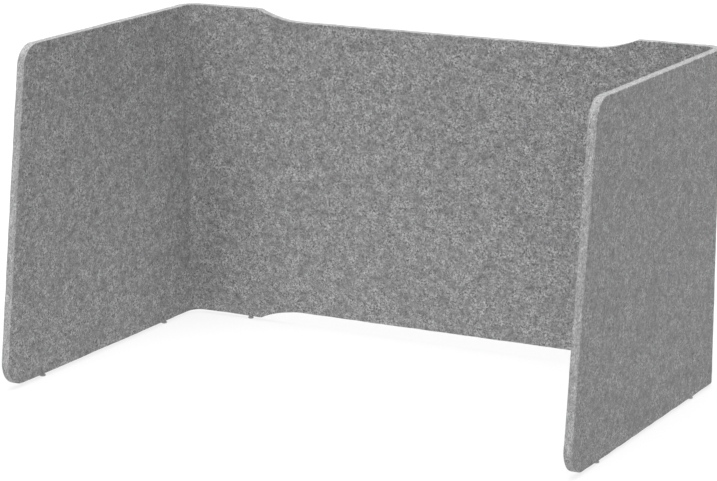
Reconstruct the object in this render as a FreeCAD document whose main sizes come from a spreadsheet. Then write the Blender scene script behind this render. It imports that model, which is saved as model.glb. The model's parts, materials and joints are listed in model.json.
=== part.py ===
"""Free-standing three-sided desk privacy panel of formed felt board on six push-in feet.

Millimetres. The origin is on the desk under the middle of the panel's outline, +X points
to the user's right, +Y away from the user and +Z up. The felt is one sheet: a back, two
quarter-round bends at the rear corners, where it flexes, and two wings.
"""
import FreeCAD, Part
import math
import os

import Sketcher
from FreeCAD import Placement, Rotation, Vector

PARTS_FOLDER = "parts"
ROOT_POINT = (-1, 1)          # a sketch's own origin, as Sketcher numbers it
START, END, CENTRE = 1, 2, 3  # the points of a line or an arc, as Sketcher numbers them
CLOSE = 1e-3                  # millimetres within which two places count as one

# name in the sheet, value in millimetres, what it is
DRIVING_DIMENSIONS = [
    ("panel_width", 840.0, "outside of one wing to the outside of the other"),
    ("wing_depth_base", 500.0, "back's outer face to the wing's front edge, at the base"),
    ("wing_depth_top", 436.0, "the same at the top, because the front edge slants"),
    ("felt_height", 460.0, "height of the felt sheet"),
    ("felt_thickness", 12.0, "stock thickness of the felt board"),
    ("bend_inner_radius", 18.0, "inside radius of the formed rear corners"),
    ("recess_depth", 15.0, "depth of the long recesses in the back's two edges"),
    ("lobe_length", 126.0, "wing's outer face to the end of the full-height lobe"),
    ("recess_run", 69.0, "length of the arc from the lobe down to the recess"),
    ("front_corner_radius", 32.0, "rounding of the wing's two front corners"),
    ("foot_height", 5.0, "gap that the feet hold between the felt and the desk"),
    ("foot_diameter", 8.0, "flange of a foot, which stands on the desk"),
    ("foot_flange_height", 2.2, "thickness of the flange"),
    ("foot_edge_round", 0.8, "rounding of the flange's lower rim"),
    ("foot_neck_diameter", 5.0, "neck between the flange and the felt"),
    ("stem_diameter", 3.0, "stem of a foot, and its bore in the felt"),
    ("stem_length", 14.0, "length of the stem above the neck, and depth of its bore"),
    ("stem_point", 2.5, "length of the stem's conical point"),
    ("front_foot_setback", 93.0, "wing's front corner at the base to its front foot"),
    ("rear_foot_setback", 90.0, "back's outer face to the wing's rear foot"),
    ("back_foot_inset", 105.0, "wing's outer face to the foot under the back"),
]

# How far the wing's front edge leans back for each millimetre of height.
LEAN = "((dims.wing_depth_base - dims.wing_depth_top) / dims.felt_height)"
# The rounded corner at the base takes a little off the wing's full depth.
OVERALL_DEPTH = (
    "(dims.wing_depth_base"
    f" - dims.front_corner_radius * ({LEAN} + sqrt(1 + {LEAN} ^ 2) - 1))")
# Where the back's outer face stands, so that the origin is under the outline's middle.
REAR_FACE = f"({OVERALL_DEPTH} / 2)"


def make_sheet(doc):
    """The spreadsheet of driving dimensions, one alias a row."""
    sheet = doc.addObject("Spreadsheet::Sheet", "dims")
    for row, (alias, value, meaning) in enumerate(DRIVING_DIMENSIONS, start=1):
        sheet.set(f"A{row}", alias)
        sheet.set(f"B{row}", str(value))
        sheet.set(f"C{row}", meaning)
        sheet.setAlias(f"B{row}", alias)
    doc.recompute()
    return sheet


def origin_plane(body, role):
    """The body's own XY_Plane, XZ_Plane or YZ_Plane."""
    return next(feature for feature in body.Origin.OriginFeatures if feature.Role == role)


def new_body(doc, label):
    body = doc.addObject("PartDesign::Body", label)
    body.Label = label
    return body


def new_sketch(body, name, role):
    sketch = body.newObject("Sketcher::SketchObject", name)
    sketch.AttachmentSupport = (origin_plane(body, role), "")
    sketch.MapMode = "FlatFace"
    return sketch


def add_driven(sketch, kind, references, value, expression, name):
    """Adds a dimension to the sketch and binds it to the sheet."""
    index = sketch.addConstraint(Sketcher.Constraint(kind, *references, value))
    sketch.renameConstraint(index, name)
    sketch.setExpression(f"Constraints.{name}", expression)


def pin_point(sketch, geometry, point, position, expressions, name):
    """Holds one point of the sketch at two distances from the sketch's origin."""
    for kind, value, expression in zip(("DistanceX", "DistanceY"), position, expressions):
        references = (*ROOT_POINT, geometry, point)
        add_driven(sketch, kind, references, value, expression, f"{name}_{kind[-1].lower()}")


def join_ends(sketch, count):
    """Closes the chain of edges 0..count-1, each one's end on the next one's start."""
    for edge in range(count):
        sketch.addConstraint(
            Sketcher.Constraint("Coincident", edge, END, (edge + 1) % count, START))


def cell(sheet, alias):
    return float(sheet.get(alias))


def pad(body, sketch, expression):
    """Pads the sketch along its normal, by a length from the sheet."""
    feature = body.newObject("PartDesign::Pad", f"{body.Label}_pad")
    feature.Profile = sketch
    feature.setExpression("Length", expression)
    sketch.Visibility = False
    return feature


def drill_stem_bores(body, sheet, centres):
    """Blind bores for the feet's stems, up into the felt's lower edge.

    centres is a list of (x, y, x expression, y expression) in the body's own frame.
    """
    sketch = new_sketch(body, f"{body.Label}_bore_sketch", "XY_Plane")
    radius = cell(sheet, "stem_diameter") / 2
    for index, (along, across, along_rule, across_rule) in enumerate(centres):
        circle = Part.Circle(Vector(along, across, 0), Vector(0, 0, 1), radius)
        sketch.addGeometry(circle, False)
        add_driven(sketch, "Radius", (index,), radius, "dims.stem_diameter / 2",
                   f"bore_{index}_radius")
        pin_point(sketch, index, CENTRE, (along, across), (along_rule, across_rule),
                  f"bore_{index}")
    pocket = body.newObject("PartDesign::Pocket", f"{body.Label}_bores")
    pocket.Profile = sketch
    pocket.setExpression("Length", "dims.stem_length")
    pocket.Reversed = True
    sketch.Visibility = False


def make_back_panel(doc, sheet):
    """The flat back between the two bends, with a long recess in each long edge.

    Its own frame: X along the panel from its middle, Y from the outer face towards the
    user as negative values, Z up from the felt's lower edge.
    """
    body = new_body(doc, "back_panel")
    outer_radius = cell(sheet, "bend_inner_radius") + cell(sheet, "felt_thickness")
    half_width = cell(sheet, "panel_width") / 2
    end = half_width - outer_radius
    run = cell(sheet, "recess_run")
    lobe = half_width - cell(sheet, "lobe_length")
    flat = lobe - run
    height = cell(sheet, "felt_height")
    depth = cell(sheet, "recess_depth")
    end_rule = "(dims.panel_width / 2 - dims.bend_inner_radius - dims.felt_thickness)"
    lobe_rule = "(dims.panel_width / 2 - dims.lobe_length)"
    flat_rule = "(dims.panel_width / 2 - dims.lobe_length - dims.recess_run)"
    low_rule = "dims.recess_depth"
    high_rule = "(dims.felt_height - dims.recess_depth)"
    top_rule = "dims.felt_height"
    # Corners in order, anticlockwise from the lower left one: x, z and their rules.
    corners = [
        (-end, 0, f"-{end_rule}", "0"),
        (-lobe, 0, f"-{lobe_rule}", "0"),
        (-flat, depth, f"-{flat_rule}", low_rule),
        (flat, depth, flat_rule, low_rule),
        (lobe, 0, lobe_rule, "0"),
        (end, 0, end_rule, "0"),
        (end, height, end_rule, top_rule),
        (lobe, height, lobe_rule, top_rule),
        (flat, height - depth, flat_rule, high_rule),
        (-flat, height - depth, f"-{flat_rule}", high_rule),
        (-lobe, height, f"-{lobe_rule}", top_rule),
        (-end, height, f"-{end_rule}", top_rule),
    ]
    arcs = (1, 3, 7, 9)     # edges that run from a lobe to a recess
    recess_lines = (2, 8)   # edges that the arcs meet smoothly
    arc_radius = (run ** 2 + depth ** 2) / (2 * depth)
    arc_rise = arc_radius - math.sqrt(arc_radius ** 2 - (run / 2) ** 2)
    sketch = new_sketch(body, "back_panel_outline", "XZ_Plane")
    edge_ends = []
    for edge, corner in enumerate(corners):
        following = corners[(edge + 1) % len(corners)]
        first = Vector(corner[0], corner[1], 0)
        last = Vector(following[0], following[1], 0)
        if edge in arcs:
            is_lower = first.y < height / 2
            middle_height = depth - arc_rise if is_lower else height - depth + arc_rise
            middle = Vector((first.x + last.x) / 2, middle_height, 0)
            sketch.addGeometry(Part.Arc(first, middle, last), False)
        else:
            sketch.addGeometry(Part.LineSegment(first, last), False)
        # An arc is stored anticlockwise, so its stored start may be this edge's end.
        is_stored_forwards = sketch.getPoint(edge, START).distanceToPoint(first) < CLOSE
        edge_ends.append((START, END) if is_stored_forwards else (END, START))
    for edge in range(len(corners)):
        following = (edge + 1) % len(corners)
        is_smooth = edge in recess_lines or following in recess_lines
        sketch.addConstraint(Sketcher.Constraint(
            "Tangent" if is_smooth else "Coincident",
            edge, edge_ends[edge][1], following, edge_ends[following][0]))
    for edge, (x_value, z_value, x_rule, z_rule) in enumerate(corners):
        pin_point(sketch, edge, edge_ends[edge][0], (x_value, z_value), (x_rule, z_rule),
                  f"corner_{edge}")
    pad(body, sketch, "dims.felt_thickness")
    foot_place = half_width - cell(sheet, "back_foot_inset")
    middle_of_felt = -cell(sheet, "felt_thickness") / 2
    foot_rule = "(dims.panel_width / 2 - dims.back_foot_inset)"
    drill_stem_bores(body, sheet, [
        (-foot_place, middle_of_felt, f"-{foot_rule}", "-dims.felt_thickness / 2"),
        (foot_place, middle_of_felt, foot_rule, "-dims.felt_thickness / 2"),
    ])
    place(body, "0", REAR_FACE, "dims.foot_height")
    return body


def make_wing(doc, sheet, label, x_rule):
    """A flat wing with a slanted front edge and two rounded front corners.

    Its own frame: X through the felt from the left face, Y from the panel's outer back
    face, with the wing on the negative side, and Z up from the felt's lower edge.
    """
    body = new_body(doc, label)
    rear = -(cell(sheet, "bend_inner_radius") + cell(sheet, "felt_thickness"))
    base = -cell(sheet, "wing_depth_base")
    top = -cell(sheet, "wing_depth_top")
    height = cell(sheet, "felt_height")
    radius = cell(sheet, "front_corner_radius")
    corners = [
        (base, 0, "-dims.wing_depth_base", "0"),
        (rear, 0, "-(dims.bend_inner_radius + dims.felt_thickness)", "0"),
        (rear, height, "-(dims.bend_inner_radius + dims.felt_thickness)", "dims.felt_height"),
        (top, height, "-dims.wing_depth_top", "dims.felt_height"),
    ]
    sketch = new_sketch(body, f"{label}_outline", "YZ_Plane")
    for edge, corner in enumerate(corners):
        following = corners[(edge + 1) % len(corners)]
        sketch.addGeometry(Part.LineSegment(
            Vector(corner[0], corner[1], 0), Vector(following[0], following[1], 0)), False)
    join_ends(sketch, len(corners))
    for edge, (y_value, z_value, y_rule, z_rule) in enumerate(corners):
        pin_point(sketch, edge, START, (y_value, z_value), (y_rule, z_rule), f"corner_{edge}")
    felt = pad(body, sketch, "dims.felt_thickness")
    doc.recompute()
    front_corners = [
        f"Edge{number}" for number, edge in enumerate(felt.Shape.Edges, start=1)
        if is_along_x(edge) and edge.CenterOfMass.y < (top + rear) / 2
    ]
    rounding = body.newObject("PartDesign::Fillet", f"{label}_corners")
    rounding.Base = (felt, front_corners)
    rounding.Radius = radius
    rounding.setExpression("Radius", "dims.front_corner_radius")
    middle_of_felt = cell(sheet, "felt_thickness") / 2
    front = base + cell(sheet, "front_foot_setback")
    back = -cell(sheet, "rear_foot_setback")
    drill_stem_bores(body, sheet, [
        (middle_of_felt, front, "dims.felt_thickness / 2",
         "-(dims.wing_depth_base - dims.front_foot_setback)"),
        (middle_of_felt, back, "dims.felt_thickness / 2", "-dims.rear_foot_setback"),
    ])
    place(body, x_rule, REAR_FACE, "dims.foot_height")
    return body


def is_along_x(edge):
    """True for a straight edge through the felt's thickness."""
    first, last = edge.Vertexes[0].Point, edge.Vertexes[-1].Point
    return abs(first.y - last.y) < CLOSE and abs(first.z - last.z) < CLOSE


def make_bend(doc, sheet, label, x_rule, quarter_turns):
    """A quarter-round corner of the sheet, centred on its own Z axis.

    Unturned it fills the quarter between +X and +Y.
    """
    body = new_body(doc, label)
    inner = cell(sheet, "bend_inner_radius")
    outer = inner + cell(sheet, "felt_thickness")
    centre, upwards = Vector(0, 0, 0), Vector(0, 0, 1)
    sketch = new_sketch(body, f"{label}_section", "XY_Plane")
    sketch.addGeometry(
        Part.ArcOfCircle(Part.Circle(centre, upwards, outer), 0, math.pi / 2), False)
    sketch.addGeometry(Part.LineSegment(Vector(0, outer, 0), Vector(0, inner, 0)), False)
    sketch.addGeometry(
        Part.ArcOfCircle(Part.Circle(centre, upwards, inner), 0, math.pi / 2), False)
    sketch.addGeometry(Part.LineSegment(Vector(inner, 0, 0), Vector(outer, 0, 0)), False)
    for first, second in (((0, END), (1, START)), ((1, END), (2, END)),
                          ((2, START), (3, START)), ((3, END), (0, START)),
                          ((0, CENTRE), ROOT_POINT), ((2, CENTRE), ROOT_POINT)):
        sketch.addConstraint(Sketcher.Constraint("Coincident", *first, *second))
    sketch.addConstraint(Sketcher.Constraint("PointOnObject", 1, START, -2))
    sketch.addConstraint(Sketcher.Constraint("PointOnObject", 1, END, -2))
    sketch.addConstraint(Sketcher.Constraint("PointOnObject", 3, START, -1))
    sketch.addConstraint(Sketcher.Constraint("PointOnObject", 3, END, -1))
    add_driven(sketch, "Radius", (0,), outer,
               "dims.bend_inner_radius + dims.felt_thickness", "outer_radius")
    add_driven(sketch, "Radius", (2,), inner, "dims.bend_inner_radius", "inner_radius")
    pad(body, sketch, "dims.felt_height")
    y_rule = f"{REAR_FACE} - dims.bend_inner_radius - dims.felt_thickness"
    place(body, x_rule, y_rule, "dims.foot_height", 90 * quarter_turns)
    return body


def make_foot(doc, sheet, label, x_rule, y_rule):
    """A turned push-in foot about its own Z: a flat-bottomed flange, a neck that the felt
    stands on, and a pointed stem."""
    body = new_body(doc, label)
    flange = cell(sheet, "foot_diameter") / 2
    flange_top = cell(sheet, "foot_flange_height")
    neck = cell(sheet, "foot_neck_diameter") / 2
    stem = cell(sheet, "stem_diameter") / 2
    shoulder = cell(sheet, "foot_height")
    tip = shoulder + cell(sheet, "stem_length")
    point = tip - cell(sheet, "stem_point")
    shoulder_rule = "dims.foot_height"
    tip_rule = "(dims.foot_height + dims.stem_length)"
    corners = [
        (0, 0, "0", "0"),
        (flange, 0, "dims.foot_diameter / 2", "0"),
        (flange, flange_top, "dims.foot_diameter / 2", "dims.foot_flange_height"),
        (neck, flange_top, "dims.foot_neck_diameter / 2", "dims.foot_flange_height"),
        (neck, shoulder, "dims.foot_neck_diameter / 2", shoulder_rule),
        (stem, shoulder, "dims.stem_diameter / 2", shoulder_rule),
        (stem, point, "dims.stem_diameter / 2", f"{tip_rule} - dims.stem_point"),
        (0, tip, "0", tip_rule),
    ]
    sketch = new_sketch(body, f"{label}_section", "XZ_Plane")
    for edge, corner in enumerate(corners):
        following = corners[(edge + 1) % len(corners)]
        sketch.addGeometry(Part.LineSegment(
            Vector(corner[0], corner[1], 0), Vector(following[0], following[1], 0)), False)
    join_ends(sketch, len(corners))
    for edge, (x_value, z_value, x_point_rule, z_point_rule) in enumerate(corners):
        pin_point(sketch, edge, START, (x_value, z_value), (x_point_rule, z_point_rule),
                  f"corner_{edge}")
    turned = body.newObject("PartDesign::Revolution", f"{label}_turned")
    turned.Profile = sketch
    turned.ReferenceAxis = (sketch, ["V_Axis"])
    turned.Angle = 360
    sketch.Visibility = False
    doc.recompute()
    lower_rim = [
        f"Edge{number}" for number, edge in enumerate(turned.Shape.Edges, start=1)
        if abs(edge.BoundBox.ZMax) < CLOSE and edge.BoundBox.XLength > flange
    ]
    rounding = body.newObject("PartDesign::Fillet", f"{label}_rim")
    rounding.Base = (turned, lower_rim)
    rounding.Radius = cell(sheet, "foot_edge_round")
    rounding.setExpression("Radius", "dims.foot_edge_round")
    place(body, x_rule, y_rule, "0")
    return body


def place(body, x_rule, y_rule, z_rule, turn=0):
    """Puts a sub-part in the panel's frame, bound to the sheet, turned about Z."""
    body.Placement = Placement(Vector(0, 0, 0), Rotation(Vector(0, 0, 1), turn))
    for axis, rule in zip("xyz", (x_rule, y_rule, z_rule)):
        body.setExpression(f"Placement.Base.{axis}", rule)


def check_document(doc, bodies):
    """Stops before anything is written if a feature failed or a shape is unsound."""
    for item in doc.Objects:
        if "Invalid" in item.State or "Error" in item.State:
            raise RuntimeError(f"{item.Name} failed: {item.State}")
    for body in bodies:
        if body.Shape.isNull() or not body.Shape.isValid():
            raise RuntimeError(f"{body.Label} has no valid shape")
        if len(body.Shape.Solids) != 1:
            raise RuntimeError(f"{body.Label} is not one solid")


def main():
    doc = FreeCAD.newDocument("desk_privacy_panel")
    sheet = make_sheet(doc)
    wing_middle = "(dims.panel_width / 2 - dims.felt_thickness / 2)"
    bend_centre = "(dims.panel_width / 2 - dims.bend_inner_radius - dims.felt_thickness)"
    back_foot = "(dims.panel_width / 2 - dims.back_foot_inset)"
    front_foot_y = f"{REAR_FACE} - dims.wing_depth_base + dims.front_foot_setback"
    rear_foot_y = f"{REAR_FACE} - dims.rear_foot_setback"
    back_foot_y = f"{REAR_FACE} - dims.felt_thickness / 2"
    bodies = [
        make_back_panel(doc, sheet),
        make_bend(doc, sheet, "left_bend", f"-{bend_centre}", 1),
        make_bend(doc, sheet, "right_bend", bend_centre, 0),
        make_wing(doc, sheet, "left_wing", "-dims.panel_width / 2"),
        make_wing(doc, sheet, "right_wing", "dims.panel_width / 2 - dims.felt_thickness"),
    ]
    feet = {
        "front_left_foot": (f"-{wing_middle}", front_foot_y),
        "rear_left_foot": (f"-{wing_middle}", rear_foot_y),
        "back_left_foot": (f"-{back_foot}", back_foot_y),
        "back_right_foot": (back_foot, back_foot_y),
        "rear_right_foot": (wing_middle, rear_foot_y),
        "front_right_foot": (wing_middle, front_foot_y),
    }
    for label, (x_rule, y_rule) in feet.items():
        bodies.append(make_foot(doc, sheet, label, x_rule, y_rule))
    doc.recompute()
    check_document(doc, bodies)
    os.makedirs(PARTS_FOLDER, exist_ok=True)
    for body in bodies:
        box = body.Shape.BoundBox
        print(f"{body.Label:18s} {body.Shape.Volume / 1000:9.2f} cm3  "
              f"x {box.XMin:8.2f} {box.XMax:8.2f}  y {box.YMin:8.2f} {box.YMax:8.2f}  "
              f"z {box.ZMin:7.2f} {box.ZMax:7.2f}")
        body.Shape.exportStep(os.path.join(PARTS_FOLDER, f"{body.Label}.step"))


main()
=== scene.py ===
"""Looks of the desk privacy panel: formed, mottled felt board on six push-in feet.

Everything is in metres in the panel's own frame: +X to the user's right, +Y away from
the user, +Z up, with the desk at z = 0.

The felt is one sheet on the real object. It is drawn flat first, in sheet places
(s, out, z): s runs along the middle of the felt from the back's centre line, out is the
distance from mid-thickness towards the outside, and z is height above the lower edge.
fold() then bends it round the rear corners. All patterns and all relief are functions of
the sheet place, so the five felt pieces meet with no visible seam.
"""

import json
import math

import bpy
import numpy as np
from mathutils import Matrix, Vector


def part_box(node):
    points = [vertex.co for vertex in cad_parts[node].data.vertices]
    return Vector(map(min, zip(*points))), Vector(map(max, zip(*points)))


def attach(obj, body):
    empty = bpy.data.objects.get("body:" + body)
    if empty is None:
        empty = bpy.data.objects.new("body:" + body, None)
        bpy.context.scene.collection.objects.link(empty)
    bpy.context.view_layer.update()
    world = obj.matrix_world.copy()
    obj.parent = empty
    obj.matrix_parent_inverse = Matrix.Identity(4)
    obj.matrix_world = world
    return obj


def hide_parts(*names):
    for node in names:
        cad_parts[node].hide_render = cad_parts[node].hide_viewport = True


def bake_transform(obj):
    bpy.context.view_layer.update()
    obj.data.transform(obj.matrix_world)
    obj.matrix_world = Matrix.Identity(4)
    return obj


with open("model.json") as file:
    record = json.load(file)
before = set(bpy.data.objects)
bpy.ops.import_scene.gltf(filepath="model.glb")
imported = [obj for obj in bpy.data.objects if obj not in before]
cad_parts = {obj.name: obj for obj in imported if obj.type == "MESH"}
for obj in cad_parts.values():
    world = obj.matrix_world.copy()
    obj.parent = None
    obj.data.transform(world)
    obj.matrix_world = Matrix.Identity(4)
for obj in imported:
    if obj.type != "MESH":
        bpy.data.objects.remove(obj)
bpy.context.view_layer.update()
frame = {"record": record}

# ------------------------------------------------------------------ sizes from the frame
wing_low, wing_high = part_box("left_wing")
back_low, back_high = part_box("back_panel")
bend_low, bend_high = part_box("left_bend")

THICKNESS = wing_high.x - wing_low.x
HALF_THICKNESS = THICKNESS / 2
LOWER_EDGE = back_low.z
HEIGHT = back_high.z - back_low.z
REAR_FACE = back_high.y
HALF_WIDTH = -wing_low.x
BEND_OUTER = bend_high.x - bend_low.x
BEND_MIDDLE = BEND_OUTER - HALF_THICKNESS
BACK_HALF = HALF_WIDTH - BEND_OUTER
BEND_LENGTH = BEND_MIDDLE * math.pi / 2
WING_START = BACK_HALF + BEND_LENGTH

# ------------------------------------------------------------- sizes that have no node
DEPTH_AT_BASE = 0.500
DEPTH_AT_TOP = 0.436
FRONT_CORNER_RADIUS = 0.032
RECESS_DEPTH = 0.015
LOBE_LENGTH = 0.126
RECESS_RUN = 0.069
EDGE_SOFTNESS = 0.0008          # rounding where a face meets the cut
CUT_CROWN = 0.00012             # how far the middle of the cut stands proud
CUT_FADE = 0.0015               # how far in from a face the cut reaches its full paleness

# how finely the felt is drawn
RECESS_COLUMNS, RUN_COLUMNS, LOBE_COLUMNS = 70, 24, 30
BEND_COLUMNS = 28
WING_COLUMNS, WING_CORNER_COLUMNS = 160, 12
FRONT_ROWS, FRONT_CORNER_ROWS = 140, 12
ARRIS_STEPS, CUT_STEPS = 3, 6
CUT_SLOT = 2                    # the cut edges' place among the felt's finishes
WELD_STEPS_PER_METRE = 1e7      # places that round to the same step are one point

# the pressed felt's unevenness: how many waves, shortest, longest, height of each
RELIEF_BANDS = ((14, 0.030, 0.090, 5.0e-5), (22, 0.010, 0.026, 1.6e-5))
RELIEF_SEED = 12


# ------------------------------------------------------------------------- felt relief
def relief_waves():
    """Seeded waves that make the pressed felt's unevenness: vectors, sizes and phases.
    Each wave has a random heading, and a length spread evenly over its band's octaves."""
    random = np.random.default_rng(RELIEF_SEED)
    vectors, sizes = [], []
    for count, shortest, longest, size in RELIEF_BANDS:
        lengths = np.exp(random.uniform(np.log(shortest), np.log(longest), count))
        headings = random.normal(size=(count, 3))
        headings /= np.linalg.norm(headings, axis=1)[:, None]
        vectors.append(headings * (2 * np.pi / lengths)[:, None])
        sizes.append(np.full(count, size))
    vectors = np.concatenate(vectors)
    return vectors, np.concatenate(sizes), random.uniform(0, 2 * np.pi, len(vectors))


WAVES = relief_waves()


def relief(places):
    """Height of the relief at sheet places, and its slope: the sum of the waves' cosines
    and the sum of their gradients."""
    vectors, sizes, phases = WAVES
    angle = places @ vectors.T + phases
    return np.cos(angle) @ sizes, -(np.sin(angle) * sizes) @ vectors


# ------------------------------------------------------------------------ the flat sheet
def fold(places, directions, side):
    """Room points and directions of sheet places and directions.

    Along the back x = s. In the bend the point turns about the bend's centre by
    (s - start) / middle radius. Past it the wing runs towards -Y. side is -1 for the
    left half, which is the mirror image.
    """
    s, out, z = places.T
    turned = np.clip(s - BACK_HALF, 0, BEND_LENGTH) / BEND_MIDDLE
    radius = BEND_MIDDLE + out
    x = np.minimum(s, BACK_HALF) + radius * np.sin(turned)
    y = REAR_FACE - BEND_OUTER + radius * np.cos(turned) - np.maximum(s - WING_START, 0)
    points = np.stack([side * x, y, z + LOWER_EDGE], 1)
    along, outwards, up = directions.T
    across = along * np.cos(turned) + outwards * np.sin(turned)
    rearwards = outwards * np.cos(turned) - along * np.sin(turned)
    return points, np.stack([side * across, rearwards, up], 1)


def recess_edge(s):
    """How far the back's long edges are cut in at s: nothing on the lobes, then an arc
    that starts at an angle and runs smoothly into the straight recess."""
    recess_end = HALF_WIDTH - LOBE_LENGTH - RECESS_RUN
    radius = (RECESS_RUN ** 2 + RECESS_DEPTH ** 2) / (2 * RECESS_DEPTH)
    past = np.clip(np.abs(s) - recess_end, 0, RECESS_RUN)
    return RECESS_DEPTH - (radius - np.sqrt(radius ** 2 - past ** 2))


def arc(centre, radius, start, end, count):
    """Points of an arc in (s, z), with its outward normals, from start to end degrees."""
    angle = np.radians(np.linspace(start, end, count))
    normal = np.stack([np.cos(angle), np.sin(angle)], 1)
    return np.array(centre) + radius * normal, normal


def line(start, end, count, normal):
    """Evenly spaced points of a line in (s, z), with one outward normal."""
    share = np.linspace(0, 1, count)[:, None]
    points = np.array(start) * (1 - share) + np.array(end) * share
    return points, np.tile(np.array(normal, float), (count, 1))


def chain(*stretches):
    """Stretches of an outline joined end to end, with shared ends kept once."""
    points = [stretches[0][0]] + [stretch[0][1:] for stretch in stretches[1:]]
    normals = [stretches[0][1]] + [stretch[1][1:] for stretch in stretches[1:]]
    return np.concatenate(points), np.concatenate(normals)


def wing_outline():
    """The wing's three free sides in (s, z), each with its outward normals: base, front
    and top.

    The front leans back. Its two corners are arcs tangent to both neighbours, and each
    arc is shared half and half between the sides that meet there.
    """
    radius = FRONT_CORNER_RADIUS
    lean = (DEPTH_AT_BASE - DEPTH_AT_TOP) / HEIGHT
    tilt = math.atan(lean)
    base_front = WING_START + DEPTH_AT_BASE - BEND_OUTER
    top_front = WING_START + DEPTH_AT_TOP - BEND_OUTER
    low_centre = (base_front - radius * (lean + 1 / math.cos(tilt)), radius)
    high_centre = (top_front + radius * (lean - 1 / math.cos(tilt)), HEIGHT - radius)
    tilt = math.degrees(tilt)
    low_middle, high_middle = (tilt - 90) / 2, (tilt + 90) / 2
    base = chain(
        line((WING_START, 0), (low_centre[0], 0), WING_COLUMNS, (0, -1)),
        arc(low_centre, radius, -90, low_middle, WING_CORNER_COLUMNS))
    top = chain(
        line((WING_START, HEIGHT), (high_centre[0], HEIGHT), WING_COLUMNS, (0, 1)),
        arc(high_centre, radius, 90, high_middle, WING_CORNER_COLUMNS))
    low_arc = arc(low_centre, radius, low_middle, tilt, FRONT_CORNER_ROWS)
    high_arc = arc(high_centre, radius, tilt, high_middle, FRONT_CORNER_ROWS)
    slant = line(low_arc[0][-1], high_arc[0][0], FRONT_ROWS, low_arc[1][-1])
    return base, chain(low_arc, slant, high_arc), top


def row_shares():
    """Heights of the felt's rows as shares of its height, the same in every piece."""
    heights = wing_outline()[1][0][:, 1]
    return (heights - heights[0]) / (heights[-1] - heights[0])


# --------------------------------------------------------------------- grids of the felt
def cut_profile():
    """The felt's cut edge from inner face to outer face: how far each step is set in
    from the outline, its out, and its normal's two parts (outline, out).

    Two quarter rounds of the edge softness with a slightly crowned cut between them.
    """
    quarter = np.radians(np.linspace(0, 90, ARRIS_STEPS + 1))[:-1]
    flat = HALF_THICKNESS - EDGE_SOFTNESS
    across = np.linspace(-flat, flat, CUT_STEPS + 1)
    slope = -2 * CUT_CROWN * across / flat ** 2
    length = np.hypot(1, slope)
    rounded = CUT_CROWN + EDGE_SOFTNESS * (1 - np.sin(quarter))
    reach = flat + EDGE_SOFTNESS * np.cos(quarter)
    inset = np.concatenate([rounded, CUT_CROWN * (across / flat) ** 2, rounded[::-1]])
    out = np.concatenate([-reach, across, reach[::-1]])
    outline_part = np.concatenate([np.sin(quarter), 1 / length, np.sin(quarter)[::-1]])
    out_part = np.concatenate([-np.cos(quarter), -slope / length, np.cos(quarter)[::-1]])
    return inset, out, outline_part, out_part


def face_grid(face, out):
    """A face of the felt as a grid of places and directions, at one distance out."""
    places = np.insert(face, 1, out, axis=-1)
    directions = np.zeros_like(places)
    directions[..., 1] = np.sign(out)
    return places, directions


def edge_grid(points, normals):
    """A cut edge along an outline in (s, z): the cut profile carried along it."""
    inset, out, outline_part, out_part = cut_profile()
    places = np.empty((len(points), len(out), 3))
    places[..., [0, 2]] = points[:, None] - normals[:, None] * inset[:, None]
    places[..., 1] = out
    directions = np.empty_like(places)
    directions[..., [0, 2]] = normals[:, None] * outline_part[:, None]
    directions[..., 1] = out_part
    return places, directions


def end_section(strips, column, heading):
    """The plain section through the felt where a piece ends inside the sheet.

    Two chains of points run from the middle of the lower cut edge to the middle of the
    upper one, by way of the inner face and of the outer face, with quads between them.
    """
    inner, outer, low, high = (strip[0][column] for strip in strips[:4])
    middle = len(low) // 2
    inner_chain = np.concatenate([low[middle:0:-1], inner, high[1:middle + 1]])
    outer_chain = np.concatenate([low[middle:-1], outer, high[middle:-1][::-1]])
    places = np.stack([inner_chain, outer_chain], 1)
    directions = np.zeros_like(places)
    directions[..., 0] = heading
    return places, directions


def edge_normals(s, edge, upwards):
    """Outward normals of a long edge given as z over s."""
    slope = np.gradient(edge, s)
    length = np.hypot(1, slope)
    return np.stack([-upwards * slope / length, upwards / length], 1)


def strip_grids(s, low, high):
    """The grids of a stretch of sheet with free edges at low(s) and high(s): its two
    faces are ruled between the two cut edges, row by row."""
    low_edge = edge_grid(np.stack([s, low], 1), edge_normals(s, low, -1))
    high_edge = edge_grid(np.stack([s, high], 1), edge_normals(s, high, 1))
    share = row_shares()[None, :, None]
    face = (low_edge[0][:, 0, ::2][:, None] * (1 - share)
            + high_edge[0][:, 0, ::2][:, None] * share)
    return (face_grid(face, -HALF_THICKNESS), face_grid(face, HALF_THICKNESS),
            low_edge, high_edge)


def back_strips():
    """The back: lobe, arc down to the recess, recess, and the same mirrored."""
    lobe_end = HALF_WIDTH - LOBE_LENGTH
    recess_end = lobe_end - RECESS_RUN
    half = np.concatenate([
        np.linspace(0, recess_end, RECESS_COLUMNS, endpoint=False),
        np.linspace(recess_end, lobe_end, RUN_COLUMNS, endpoint=False),
        np.linspace(lobe_end, BACK_HALF, LOBE_COLUMNS)])
    s = np.concatenate([-half[:0:-1], half])
    cut_in = recess_edge(s)
    return strip_grids(s, cut_in, HEIGHT - cut_in)


def bend_strips():
    """A bend: the plain stretch between the back and a wing, with straight long edges."""
    s = np.linspace(BACK_HALF, WING_START, BEND_COLUMNS + 1)
    flat = np.zeros_like(s)
    return strip_grids(s, flat, flat + HEIGHT)


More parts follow.
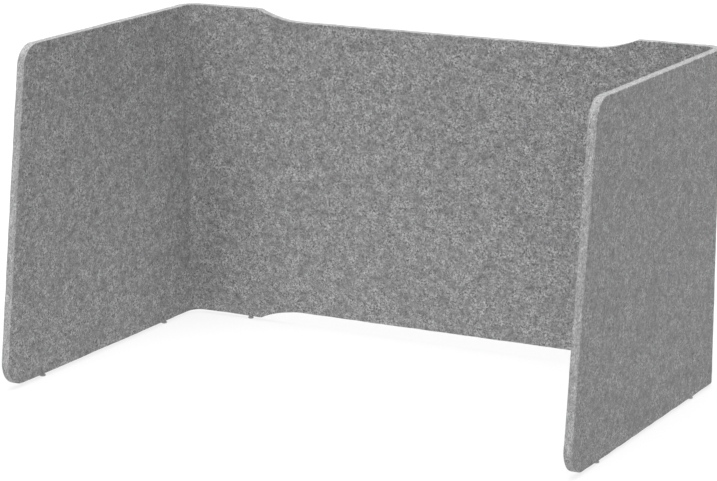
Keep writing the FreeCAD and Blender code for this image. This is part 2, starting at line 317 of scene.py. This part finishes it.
def wing_strips():
    """The wing: two faces filled between the base, the front, the top and the seam.

    Each face point is the base-to-top blend plus the seam-to-front blend, less the
    blend of the four corners.
    """
    (base, base_normal), (front, front_normal), (top, top_normal) = wing_outline()
    low_edge, high_edge = edge_grid(base, base_normal), edge_grid(top, top_normal)
    front_edge = edge_grid(front, front_normal)
    low, high, leading = (edge[0][:, 0, ::2] for edge in (low_edge, high_edge, front_edge))
    up = row_shares()[None, :, None]
    seam = low[0] * (1 - up) + high[0] * up
    low_run = (low[:, 0] - low[0, 0]) / (low[-1, 0] - low[0, 0])
    high_run = (high[:, 0] - high[0, 0]) / (high[-1, 0] - high[0, 0])
    run = ((low_run + high_run) / 2)[:, None, None]
    corners = ((1 - run) * ((1 - up) * low[0] + up * high[0])
               + run * ((1 - up) * low[-1] + up * high[-1]))
    face = ((1 - up) * low[:, None] + up * high[:, None]
            + (1 - run) * seam + run * leading[None] - corners)
    return (face_grid(face, -HALF_THICKNESS), face_grid(face, HALF_THICKNESS),
            low_edge, high_edge, front_edge)


# --------------------------------------------------------------------------- felt pieces
def grid_quads(grid, facing, first):
    """Quads of a grid whose points are numbered from first, turned to look its way."""
    rows, columns = grid.shape[:2]
    number = first + np.arange(rows * columns).reshape(rows, columns)
    quads = np.stack([number[:-1, :-1], number[1:, :-1], number[1:, 1:], number[:-1, 1:]],
                     -1).reshape(-1, 4)
    row, column = (rows - 1) // 2, (columns - 1) // 2
    corner = grid[row, column]
    heading = np.cross(grid[row + 1, column] - corner, grid[row, column + 1] - corner)
    return quads if heading @ facing[row, column] > 0 else quads[:, ::-1]


def felt_piece(name, strips, sections, side):
    """One closed piece of felt: its grids folded, raised by the relief and welded.

    strips are the inner face, the outer face and then the cut edges, and their order
    picks their finish. Each point moves along its own direction by the relief's height,
    and its normal is that direction less the relief's slope across it. The left side is
    the mirror image in shape, but not in pattern, because its places have s below zero.
    """
    places, directions, quads, finish, paleness, count = [], [], [], [], [], 0
    for order, (grid, facing) in enumerate([*strips, *sections]):
        quads.append(grid_quads(grid, facing, count))
        finish.append(np.full(len(quads[-1]), min(order, CUT_SLOT), np.int32))
        depth = (HALF_THICKNESS - np.abs(grid[..., 1])).ravel() / CUT_FADE
        paleness.append(np.minimum(depth, 1) * (order >= CUT_SLOT))
        places.append(grid.reshape(-1, 3))
        directions.append(facing.reshape(-1, 3))
        count += len(places[-1])
    places, directions = np.concatenate(places), np.concatenate(directions)
    # mirroring turns a quad to look inwards, so on the left it is read backwards
    quads, finish = np.concatenate(quads)[:, ::side], np.concatenate(finish)

    mirror = np.array([side, 1, 1])
    height, slope = relief(places * mirror)
    slope = slope * mirror
    tilted = directions - slope + (slope * directions).sum(1)[:, None] * directions
    tilted /= np.linalg.norm(tilted, axis=1)[:, None]
    points, _ = fold(places + directions * height[:, None], directions, side)
    _, normals = fold(places, tilted, side)

    keys = np.rint(places * WELD_STEPS_PER_METRE).astype(np.int64)
    _, kept, welded = np.unique(keys, axis=0, return_index=True, return_inverse=True)
    faces = welded.reshape(-1)[quads]
    # a quad with two corners in one place becomes a triangle
    differs = faces != np.roll(faces, 1, axis=1)
    whole = differs.all(1)
    triangles = faces[~whole][differs[~whole]].reshape(-1, 3)
    corners = np.concatenate([quads[whole].reshape(-1), quads[~whole][differs[~whole]]])

    mesh = bpy.data.meshes.new(name)
    mesh.from_pydata(points[kept].tolist(), [], faces[whole].tolist() + triangles.tolist())
    mesh.polygons.foreach_set("use_smooth", np.ones(len(faces), bool))
    place = mesh.attributes.new("sheet_place", "FLOAT_VECTOR", "POINT")
    place.data.foreach_set("vector", (places * mirror)[kept].astype(np.float32).ravel())
    pale = mesh.attributes.new("cut_paleness", "FLOAT", "POINT")
    pale.data.foreach_set("value", np.concatenate(paleness)[kept].astype(np.float32))
    for material in FELT_FINISHES:
        mesh.materials.append(material)
    mesh.polygons.foreach_set("material_index",
                              np.concatenate([finish[whole], finish[~whole]]))
    mesh.normals_split_custom_set(normals[corners].tolist())
    piece = bpy.data.objects.new(name, mesh)
    bpy.context.scene.collection.objects.link(piece)
    return piece


def make_felt():
    """The five felt pieces, each standing for its own CAD node."""
    strips = back_strips()
    back = felt_piece("felt_back", strips,
                      [end_section(strips, 0, -1), end_section(strips, -1, 1)], 1)
    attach(back, "back")
    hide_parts("back_panel")
    for label, side in (("left", -1), ("right", 1)):
        strips = wing_strips()
        wing = felt_piece(f"felt_{label}_wing", strips, [end_section(strips, 0, -1)], side)
        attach(wing, f"{label}_wing")
        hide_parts(f"{label}_wing")
        strips = bend_strips()
        bend = felt_piece(f"felt_{label}_bend", strips,
                          [end_section(strips, 0, -1), end_section(strips, -1, 1)], side)
        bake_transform(bend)
        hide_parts(f"{label}_bend")


# ------------------------------------------------------------------------------ the feet
FOOT_SEGMENTS = 48                  # round the axis
ROUND_STEPS = 7                     # points of each rounding
FLANGE_HEIGHT = 0.0022
FLANGE_ROUND = 0.0008
FLANGE_TOP_ROUND = 0.0004
FLANGE_DRAFT = 0.0001
DIMPLE_SHARE = 0.35                 # of the flange's radius
DIMPLE_DEPTH = 0.00025
NECK_RADIUS = 0.0025
NECK_FILLET = 0.0005
STEM_RADIUS = 0.0015
STEM_POINT = 0.0025
BARB_COUNT = 3
BARB_REACH = 0.0004
BARB_PITCH = 0.0035
BARB_TIP, BARB_END = 0.12, 0.75     # shares of the pitch


def foot_profile(flange_radius, shoulder, tip):
    """The turned outline of a foot as (radius, height): a flat bottom with a shallow
    moulding dimple, a flange with rounded rims and a drafted wall, a filleted neck that
    the felt stands on, and a stem with barbs and a point."""
    quarter = np.radians(np.linspace(0, 90, ROUND_STEPS))
    rise, fall = 1 - np.cos(quarter), 1 - np.sin(quarter)
    share = np.linspace(0, 1, ROUND_STEPS)
    points = [
        np.stack([flange_radius * DIMPLE_SHARE * share,
                  DIMPLE_DEPTH * (1 + np.cos(np.pi * share)) / 2], 1),
        np.stack([flange_radius - FLANGE_ROUND * fall, FLANGE_ROUND * rise], 1),
        np.stack([flange_radius - FLANGE_DRAFT - FLANGE_TOP_ROUND * rise,
                  FLANGE_HEIGHT - FLANGE_TOP_ROUND * fall], 1),
        np.stack([NECK_RADIUS + NECK_FILLET * fall,
                  FLANGE_HEIGHT + NECK_FILLET * rise], 1),
        np.array([[NECK_RADIUS, shoulder], [STEM_RADIUS, shoulder]]),
    ]
    for barb in range(BARB_COUNT):
        level = shoulder + BARB_PITCH * (barb + 0.5)
        points.append(np.array([
            [STEM_RADIUS - BARB_REACH, level],
            [STEM_RADIUS, level + BARB_PITCH * BARB_TIP],
            [STEM_RADIUS - BARB_REACH, level + BARB_PITCH * BARB_END]]))
    points.append(np.array([[STEM_RADIUS - BARB_REACH, tip - STEM_POINT], [0, tip]]))
    return np.concatenate(points)


def make_foot(node_name, body):
    """A lathe-turned foot: its profile carried round the CAD foot's own axis."""
    low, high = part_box(node_name)
    centre = (low + high) / 2
    profile = foot_profile((high.x - low.x) / 2, LOWER_EDGE, high.z)
    radius, height = profile[1:-1].T
    angle = np.linspace(0, 2 * np.pi, FOOT_SEGMENTS, endpoint=False)
    ring = np.stack([
        centre.x + radius[:, None] * np.cos(angle),
        centre.y + radius[:, None] * np.sin(angle),
        np.repeat(height[:, None], FOOT_SEGMENTS, 1)], -1)
    number = np.arange(ring.shape[0] * FOOT_SEGMENTS).reshape(ring.shape[0], -1)
    onward = np.roll(number, -1, axis=1)
    walls = np.stack([number[:-1], onward[:-1], onward[1:], number[1:]], -1).reshape(-1, 4)
    bottom, top = number.size, number.size + 1
    bottom_fan = np.stack([np.full(FOOT_SEGMENTS, bottom), onward[0], number[0]], 1)
    top_fan = np.stack([np.full(FOOT_SEGMENTS, top), number[-1], onward[-1]], 1)
    points = np.concatenate([
        ring.reshape(-1, 3),
        [[centre.x, centre.y, profile[0, 1]], [centre.x, centre.y, profile[-1, 1]]]])
    mesh = bpy.data.meshes.new(f"{node_name}_turned")
    mesh.from_pydata(points.tolist(), [],
                     walls.tolist() + bottom_fan.tolist() + top_fan.tolist())
    mesh.shade_smooth()
    mesh.materials.append(FOOT_NYLON)
    foot = bpy.data.objects.new(f"{node_name}_turned", mesh)
    bpy.context.scene.collection.objects.link(foot)
    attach(foot, body)
    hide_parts(node_name)


# ------------------------------------------------------------------------------ materials
def add_node(tree, kind, values=None, **settings):
    """Adds a shader node, with its own settings and the values of its inputs. A value
    that is another node's socket is linked."""
    made = tree.nodes.new(kind)
    for setting, value in settings.items():
        setattr(made, setting, value)
    for socket, value in (values or {}).items():
        if isinstance(value, bpy.types.NodeSocket):
            tree.links.new(value, made.inputs[socket])
        else:
            made.inputs[socket].default_value = value
    return made


def calculate(tree, operation, first, second=0.0, third=0.0):
    """The result of a Math node on numbers or sockets."""
    made = add_node(tree, "ShaderNodeMath", {0: first, 1: second, 2: third},
                    operation=operation)
    return made.outputs[0]


def remap(tree, value, low, high, new_low=0.0, new_high=1.0):
    """value moved from low..high to new_low..new_high, smoothly and without passing them."""
    made = add_node(tree, "ShaderNodeMapRange",
                    {"Value": value, "From Min": low, "From Max": high,
                     "To Min": new_low, "To Max": new_high},
                    interpolation_type="SMOOTHSTEP")
    return made.outputs["Result"]


def noise(tree, place, scale, detail=2.0, roughness=0.5, distortion=0.0):
    """A smooth random field from 0 to 1 over places, scale features to the metre."""
    made = add_node(tree, "ShaderNodeTexNoise",
                    {"Vector": place, "Scale": scale, "Detail": detail,
                     "Roughness": roughness, "Distortion": distortion})
    return made.outputs["Fac"]


def new_group(name, inputs, outputs):
    """An empty node group with named sockets. Each input is (name, type, default)."""
    group = bpy.data.node_groups.new(name, "ShaderNodeTree")
    for label, kind, default in inputs:
        socket = group.interface.new_socket(label, in_out="INPUT", socket_type=kind)
        if default is not None:
            socket.default_value = default
    for label, kind in outputs:
        group.interface.new_socket(label, in_out="OUTPUT", socket_type=kind)
    entrance = group.nodes.new("NodeGroupInput")
    way_out = group.nodes.new("NodeGroupOutput")
    return group, entrance.outputs, way_out.inputs


# the felt's pattern: scales are per metre, widths and reaches are parts of a field's range
USUAL_RANGE = (0.3, 0.7)                # a noise field seldom leaves it
FIBRE_HEADINGS = (12, 57, 103, 151)     # degrees in the plane of the sheet
FIBRE_SCALES = (95.0, 1000.0, 1000.0)   # along, through and across the fibres
FIBRE_SHIFT = (3.7, 1.9, 5.3)           # parts the fibres of one heading from the next
FIBRE_CURL = 0.9
TUFT_SCALE = 330.0                      # how closely the curled tufts lie
TUFT_WIDTH = 0.045                      # how far a tuft reaches either side of its ridge
TUFT_CURL = 1.6
ASIDE = (0.41, 0.23, 0.17)              # metres to a stretch with nothing in common
CLOUD_SCALE = 70.0                      # patches of weaker and stronger grain
CLOUD_STRENGTHS = (0.45, 1.55)          # the grain's strength in the two
CLOUD_TONE = 0.6                        # how far a cloud lightens or darkens
FLECK_SHARE, FINE_SHARE = 0.55, 0.45    # of the grain
FLECK_CURL, FINE_CURL = 0.6, 0.3
FINE_RATIO, BLOTCH_RATIO = 2.1, 0.4     # their scales against the flecks'
FIBRE_LOFT, TUFT_LOFT = 0.35, 0.25      # how far they stand out of the grain

# the felt's surface
FELT_TINT = (1.0, 1.0, 1.005)           # a hint of blue in every shade
FELT_LOFT = 0.0006                      # depth of the bump
FELT_HEIGHTS = (0.2, 0.9)               # hollows and high points of the pattern
FELT_ROUGHNESS = (0.86, 0.98)           # in the hollows and on the high points
LAYER_SQUEEZE = (1.0, 1.8, 1.0)         # the cut shows layers: its pattern is flattened
RAGGED_SCALE = 420.0                    # per metre: the uneven border of the cut's paleness
RAGGED_REACH = 0.5                      # how much it wanders, as a share of the fade
FADE_ENDS = (0.1, 0.9)                  # shares of the fade where the paleness starts, ends

# the feet's nylon
NYLON_DARK = (0.340, 0.340, 0.343, 1)
NYLON_PALE = (0.430, 0.430, 0.433, 1)
NYLON_CLOUD_SCALE = 600.0               # per metre
NYLON_GRAIN_SCALE = 6000.0              # per metre
NYLON_GRAIN_DEPTH = 0.00005
NYLON_ROUGHNESS = (0.42, 0.58)


def fibre_group():
    """Criss-cross fibres of the felt: thin ridges of stretched noise at four headings,
    two of them pale fibres and two dark ones."""
    group, given, result = new_group(
        "felt_fibres",
        [("Place", "NodeSocketVector", None), ("Thickness", "NodeSocketFloat", 0.04)],
        [("Pale", "NodeSocketFloat"), ("Dark", "NodeSocketFloat")])
    along, through, across = FIBRE_SHIFT
    masks = []
    for order, heading in enumerate(FIBRE_HEADINGS):
        turned = add_node(group, "ShaderNodeVectorRotate",
                          {"Vector": given["Place"], "Axis": (0, 1, 0),
                           "Angle": math.radians(heading)}, rotation_type="AXIS_ANGLE")
        stretched = add_node(group, "ShaderNodeVectorMath",
                             {0: turned.outputs[0], 1: FIBRE_SCALES},
                             operation="MULTIPLY")
        shift = (along * order, through, across * order)
        shifted = add_node(group, "ShaderNodeVectorMath",
                           {0: stretched.outputs[0], 1: shift}, operation="ADD")
        field = noise(group, shifted.outputs[0], 1.0, detail=1.0, distortion=FIBRE_CURL)
        masks.append(ridge(group, field, given["Thickness"]))
    for order, label in enumerate(("Pale", "Dark")):
        either = calculate(group, "MAXIMUM", masks[order], masks[order + 2])
        group.links.new(either, result[label])
    return group


def ridge(tree, field, width):
    """1 where the field passes through its middle value, down to 0 at width from it."""
    gap = calculate(tree, "ABSOLUTE", calculate(tree, "SUBTRACT", field, 0.5))
    return calculate(tree, "SUBTRACT", 1.0, remap(tree, gap, 0.0, width))


def melange_group():
    """The felt's melange: tone and height, from flecks of two sizes, curled tufts, soft
    blotches and the fibres.

    tone = 0.5 + the centred grain times its contrast in this cloud + blotches and clouds
    + tufts less the dark gaps between them + pale fibres less dark ones, each times its
    own contrast. height = grain + fibres + tufts.
    """
    group, given, result = new_group(
        "felt_melange",
        [("Place", "NodeSocketVector", None),
         ("Fleck Size", "NodeSocketFloat", 0.0029),
         ("Fleck Contrast", "NodeSocketFloat", 1.9),
         ("Tuft Contrast", "NodeSocketFloat", 0.18),
         ("Blotch Contrast", "NodeSocketFloat", 0.65),
         ("Fibre Contrast", "NodeSocketFloat", 0.20)],
        [("Tone", "NodeSocketFloat"), ("Height", "NodeSocketFloat")])
    place = given["Place"]
    per_metre = calculate(group, "DIVIDE", 1.0, given["Fleck Size"])
    flecks = noise(group, place, per_metre, detail=1.0, distortion=FLECK_CURL)
    fine_scale = calculate(group, "MULTIPLY", per_metre, FINE_RATIO)
    fine = noise(group, place, fine_scale, detail=1.0, distortion=FINE_CURL)
    blotch_scale = calculate(group, "MULTIPLY", per_metre, BLOTCH_RATIO)
    blotches = noise(group, place, blotch_scale)
    fibres = add_node(group, "ShaderNodeGroup", node_tree=FELT_FIBRES)
    group.links.new(place, fibres.inputs["Place"])
    pale, dark = fibres.outputs["Pale"], fibres.outputs["Dark"]
    aside = add_node(group, "ShaderNodeVectorMath", {0: place, 1: ASIDE}, operation="ADD")
    fields = [noise(group, where, TUFT_SCALE, detail=1.0, distortion=TUFT_CURL)
              for where in (place, aside.outputs[0])]
    tufts, gaps = (ridge(group, field, TUFT_WIDTH) for field in fields)
    curl = calculate(group, "SUBTRACT", tufts, gaps)
    clouds = noise(group, aside.outputs[0], CLOUD_SCALE)

    grain = calculate(group, "ADD", calculate(group, "MULTIPLY", flecks, FLECK_SHARE),
                      calculate(group, "MULTIPLY", fine, FINE_SHARE))
    strength = calculate(group, "MULTIPLY", given["Fleck Contrast"],
                         remap(group, clouds, *USUAL_RANGE, *CLOUD_STRENGTHS))
    centred = calculate(group, "SUBTRACT", grain, 0.5)
    tone = calculate(group, "MULTIPLY_ADD", centred, strength, 0.5)
    cloudiness = calculate(group, "MULTIPLY_ADD", clouds, CLOUD_TONE, -CLOUD_TONE / 2)
    patch = calculate(group, "ADD", calculate(group, "SUBTRACT", blotches, 0.5), cloudiness)
    tone = calculate(group, "MULTIPLY_ADD", patch, given["Blotch Contrast"], tone)
    tone = calculate(group, "MULTIPLY_ADD", curl, given["Tuft Contrast"], tone)
    criss_cross = calculate(group, "SUBTRACT", pale, dark)
    tone = calculate(group, "MULTIPLY_ADD", criss_cross, given["Fibre Contrast"], tone)
    group.links.new(tone, result["Tone"])

    either_fibre = calculate(group, "MAXIMUM", pale, dark)
    height = calculate(group, "MULTIPLY_ADD", either_fibre, FIBRE_LOFT, grain)
    height = calculate(group, "MULTIPLY_ADD", curl, TUFT_LOFT, height)
    group.links.new(height, result["Height"])
    return group


def felt_layer(tree, place, finish):
    """One felt finish at a place: its colour and its height. A finish is its shades,
    (tone, grey) stops from dark to pale, and the melange group's inputs."""
    pattern = add_node(tree, "ShaderNodeGroup", node_tree=FELT_MELANGE)
    tree.links.new(place, pattern.inputs["Place"])
    for socket, value in finish["melange"].items():
        pattern.inputs[socket].default_value = value
    ramp = add_node(tree, "ShaderNodeValToRGB", {"Fac": pattern.outputs["Tone"]})
    stops = ramp.color_ramp.elements
    while len(stops) < len(finish["shades"]):
        stops.new(1.0)
    for stop, (tone, grey) in zip(stops, finish["shades"]):
        stop.position = tone
        stop.color = (*(grey * share for share in FELT_TINT), 1)
    return ramp.outputs["Color"], pattern.outputs["Height"]


def felt_material(name, face, cut=None):
    """The felt's surface: the face finish, or on a cut edge the face finish that turns
    unevenly into the paler, layered cut finish from the faces inwards."""
    material = bpy.data.materials.new(name)
    material.use_nodes = True
    tree = material.node_tree
    tree.nodes.clear()
    place = add_node(tree, "ShaderNodeAttribute", attribute_name="sheet_place")
    colour, height = felt_layer(tree, place.outputs["Vector"], face)
    if cut:
        layered = add_node(tree, "ShaderNodeVectorMath",
                           {0: place.outputs["Vector"], 1: LAYER_SQUEEZE},
                           operation="MULTIPLY")
        cut_colour, cut_height = felt_layer(tree, layered.outputs[0], cut)
        paleness = add_node(tree, "ShaderNodeAttribute", attribute_name="cut_paleness")
        ragged = noise(tree, place.outputs["Vector"], RAGGED_SCALE, roughness=0.6)
        wander = calculate(tree, "MULTIPLY_ADD", ragged, RAGGED_REACH, -RAGGED_REACH / 2)
        share = remap(tree, calculate(tree, "ADD", paleness.outputs["Fac"], wander),
                      *FADE_ENDS)
        blended = add_node(tree, "ShaderNodeMix", data_type="RGBA")
        for socket, value in (("Factor_Float", share), ("A_Color", colour),
                              ("B_Color", cut_colour)):
            tree.links.new(value, named_input(blended, socket))
        colour = named_output(blended, "Result_Color")
        face_height = calculate(tree, "MULTIPLY", height,
                                calculate(tree, "SUBTRACT", 1.0, share))
        height = calculate(tree, "ADD", face_height,
                           calculate(tree, "MULTIPLY", cut_height, share))
    bump = add_node(tree, "ShaderNodeBump",
                    {"Height": height, "Strength": 1.0, "Distance": FELT_LOFT})
    shader = add_node(tree, "ShaderNodeBsdfPrincipled",
                      {"Base Color": colour,
                       "Roughness": remap(tree, height, *FELT_HEIGHTS, *FELT_ROUGHNESS),
                       "Normal": bump.outputs["Normal"], "Specular IOR Level": 0.25,
                       "Sheen Weight": 0.1, "Sheen Roughness": 0.5})
    surface = add_node(tree, "ShaderNodeOutputMaterial")
    tree.links.new(shader.outputs["BSDF"], surface.inputs["Surface"])
    return material


def named_input(node, identifier):
    """A node's input by its identifier, where several inputs share a name."""
    return next(socket for socket in node.inputs if socket.identifier == identifier)


def named_output(node, identifier):
    """A node's output by its identifier."""
    return next(socket for socket in node.outputs if socket.identifier == identifier)


def foot_material():
    """Matt moulded nylon: a mid grey with faint cloudiness and fine moulding texture."""
    material = bpy.data.materials.new("foot_nylon")
    material.use_nodes = True
    tree = material.node_tree
    tree.nodes.clear()
    place = add_node(tree, "ShaderNodeTexCoord").outputs["Object"]
    clouds = noise(tree, place, NYLON_CLOUD_SCALE, detail=3.0, roughness=0.6)
    grain = noise(tree, place, NYLON_GRAIN_SCALE, roughness=0.6)
    ramp = add_node(tree, "ShaderNodeValToRGB", {"Fac": clouds})
    for stop, position, colour in zip(ramp.color_ramp.elements, USUAL_RANGE,
                                      (NYLON_DARK, NYLON_PALE)):
        stop.position = position
        stop.color = colour
    bump = add_node(tree, "ShaderNodeBump",
                    {"Height": grain, "Strength": 0.4, "Distance": NYLON_GRAIN_DEPTH})
    shader = add_node(tree, "ShaderNodeBsdfPrincipled",
                      {"Base Color": ramp.outputs["Color"],
                       "Roughness": remap(tree, grain, *USUAL_RANGE, *NYLON_ROUGHNESS),
                       "Normal": bump.outputs["Normal"]})
    surface = add_node(tree, "ShaderNodeOutputMaterial")
    tree.links.new(shader.outputs["BSDF"], surface.inputs["Surface"])
    return material


FELT_FIBRES = fibre_group()
FELT_MELANGE = melange_group()

# shades are (tone, grey) stops from dark to pale
INNER_FINISH = {
    "shades": ((0.0, 0.070), (0.25, 0.160), (0.5, 0.282), (0.75, 0.435), (1.0, 0.610)),
    "melange": {"Fleck Size": 0.0029, "Fleck Contrast": 1.9, "Tuft Contrast": 0.18,
                "Blotch Contrast": 0.65, "Fibre Contrast": 0.20}}
# the outer face: a flatter grain, and shades a little darker than the inner face's as
# painted shade for how the outer face is lit
OUTER_FINISH_AND_SHADE = {
    "shades": ((0.0, 0.068), (0.25, 0.155), (0.5, 0.272), (0.75, 0.420), (1.0, 0.590)),
    "melange": {"Fleck Size": 0.0029, "Fleck Contrast": 1.45, "Tuft Contrast": 0.14,
                "Blotch Contrast": 0.50, "Fibre Contrast": 0.15}}
CUT_FINISH = {
    "shades": ((0.0, 0.130), (0.25, 0.250), (0.5, 0.380), (0.75, 0.540), (1.0, 0.700)),
    "melange": {"Fleck Size": 0.0026, "Fleck Contrast": 2.2, "Tuft Contrast": 0.22,
                "Blotch Contrast": 0.60, "Fibre Contrast": 0.20}}
# in the order of the strips: inner face, outer face, cut edge
FELT_FINISHES = (felt_material("felt_inner_face", INNER_FINISH),
                 felt_material("felt_outer_face", OUTER_FINISH_AND_SHADE),
                 felt_material("felt_cut_edge", INNER_FINISH, CUT_FINISH))
FOOT_NYLON = foot_material()


# ------------------------------------------------------------------- floor, light, camera
# strengths of the lights: what each adds to a white surface that faces it
SURROUND = 0.12
OVERHEAD = 1.5
FRONT = 0.47
RIGHT = 0.21

FLOOR_REACH = 16.0                      # from the middle to each side
FLOOR_GLOW = 0.80                       # its own light, where 1 is white
FLOOR_COLOUR = (0.15, 0.15, 0.15, 1)    # how much of the other light it gives back


def direction(azimuth, elevation):
    """The unit vector from the object towards an azimuth and elevation in degrees:
    azimuth 0 is -Y, the front, and 90 is +X, the right."""
    azimuth, elevation = math.radians(azimuth), math.radians(elevation)
    return Vector((math.sin(azimuth) * math.cos(elevation),
                   -math.cos(azimuth) * math.cos(elevation), math.sin(elevation)))


def make_floor():
    """A large pale floor under the object. It glows a little, as a light table does, so
    the shadows on it stay faint."""
    corners = [(-1, -1), (1, -1), (1, 1), (-1, 1)]
    mesh = bpy.data.meshes.new("floor")
    mesh.from_pydata([(x * FLOOR_REACH, y * FLOOR_REACH, 0) for x, y in corners], [],
                     [(0, 1, 2, 3)])
    material = bpy.data.materials.new("pale_floor")
    material.use_nodes = True
    shader = material.node_tree.nodes["Principled BSDF"]
    shader.inputs["Base Color"].default_value = FLOOR_COLOUR
    shader.inputs["Roughness"].default_value = 0.9
    shader.inputs["Specular IOR Level"].default_value = 0.0
    shader.inputs["Emission Color"].default_value = (1, 1, 1, 1)
    shader.inputs["Emission Strength"].default_value = FLOOR_GLOW
    mesh.materials.append(material)
    floor = bpy.data.objects.new("floor", mesh)
    bpy.context.scene.collection.objects.link(floor)


def add_sky_light(name, azimuth, elevation, spread, strength):
    """A wide, even light from far away, in the direction of azimuth and elevation in
    degrees, as wide as spread. strength is what it adds to a white surface facing it."""
    light = bpy.data.lights.new(name, "SUN")
    light.angle = math.radians(spread)
    light.energy = strength * math.pi
    lamp = bpy.data.objects.new(name, light)
    towards = direction(azimuth, elevation)
    lamp.rotation_euler = (-towards).to_track_quat("-Z", "Y").to_euler()
    bpy.context.scene.collection.objects.link(lamp)


def make_light():
    """An even surround, seen as white, and wide soft lights overhead, in front and at
    the right."""
    world = bpy.data.worlds.new("studio")
    world.use_nodes = True
    background = world.node_tree.nodes["Background"]
    background.inputs["Color"].default_value = (1, 1, 1, 1)
    seen = add_node(world.node_tree, "ShaderNodeLightPath").outputs["Is Camera Ray"]
    strength = calculate(world.node_tree, "MULTIPLY_ADD", seen, 1 - SURROUND, SURROUND)
    world.node_tree.links.new(strength, background.inputs["Strength"])
    bpy.context.scene.world = world
    add_sky_light("overhead_light", 0, 90, 60, OVERHEAD)
    add_sky_light("front_light", 0, 35, 50, FRONT)
    add_sky_light("right_light", 75, 35, 50, RIGHT)


# the viewpoint: which way and how far the camera stands from the point it looks at
VIEW_AZIMUTH, VIEW_ELEVATION = 27.985, 13.398
VIEW_DISTANCE = 3.788
VIEW_TARGET = (-0.0056, 0.0, 0.2039)
VIEW_LENS, SENSOR_WIDTH = 141.4, 36.0    # millimetres


def make_camera():
    """A long-lens camera at the viewpoint, looking at its target."""
    data = bpy.data.cameras.new("camera")
    data.sensor_width = SENSOR_WIDTH
    data.lens = VIEW_LENS
    data.clip_start, data.clip_end = 0.05, 60
    camera = bpy.data.objects.new("camera", data)
    back = direction(VIEW_AZIMUTH, VIEW_ELEVATION)
    camera.location = Vector(VIEW_TARGET) + back * VIEW_DISTANCE
    camera.rotation_euler = (-back).to_track_quat("-Z", "Y").to_euler()
    bpy.context.scene.collection.objects.link(camera)
    bpy.context.scene.camera = camera


# ----------------------------------------------------------------------------- the scene
make_felt()
for body_name, node_names in frame["record"]["behaviour"]["bodies"].items():
    for node_name in node_names:
        if node_name.endswith("_foot"):
            make_foot(node_name, body_name)
make_floor()
make_light()
make_camera()
bpy.context.scene.view_settings.view_transform = "Standard"
